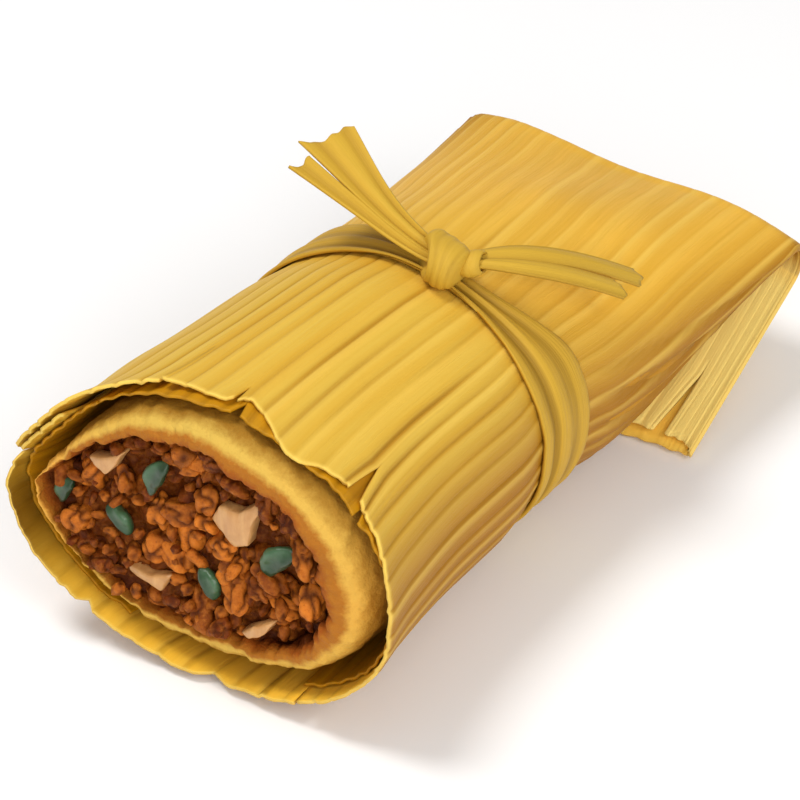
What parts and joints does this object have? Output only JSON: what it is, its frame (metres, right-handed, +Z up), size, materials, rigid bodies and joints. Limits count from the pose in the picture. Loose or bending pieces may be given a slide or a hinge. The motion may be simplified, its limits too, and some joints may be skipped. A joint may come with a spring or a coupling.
{
  "type": "tamale",
  "caption": "Tamale in its maize husk, cut open at one end to show masa round a chopped meat filling, tied round with a husk strip, far end folded under.",
  "frame": {"origin": "middle of the underside of the parcel's box, on the surface it lies on", "axes": "+Y runs along the parcel from the cut end towards the folded end; +Z is up, and the knot is on top; +X is to the right seen from the cut end"},
  "size_m": [0.0654, 0.1278, 0.0601],
  "materials": {
    "husk": "dry ribbed maize husk, pale gold, satin",
    "inner_husk": "damp maize husk, deep gold, satin",
    "tie": "torn strip of maize husk, satin",
    "masa": "steamed maize dough, soft and slightly porous, matte",
    "filling": "chopped meat in red-brown chilli sauce, moist",
    "onion": "cooked onion, translucent and moist",
    "pepper": "cooked green pepper skin, moist"
  },
  "bodies": {
    "root": {"outer_leaf": "husk", "inner_leaf": "inner_husk", "tie": "tie", "masa": "masa", "filling": "filling", "onion_1": "onion", "onion_2": "onion", "onion_3": "onion", "onion_4": "onion", "pepper_1": "pepper", "pepper_2": "pepper", "pepper_3": "pepper", "pepper_4": "pepper", "pepper_5": "pepper"}
  },
  "joints": []
}
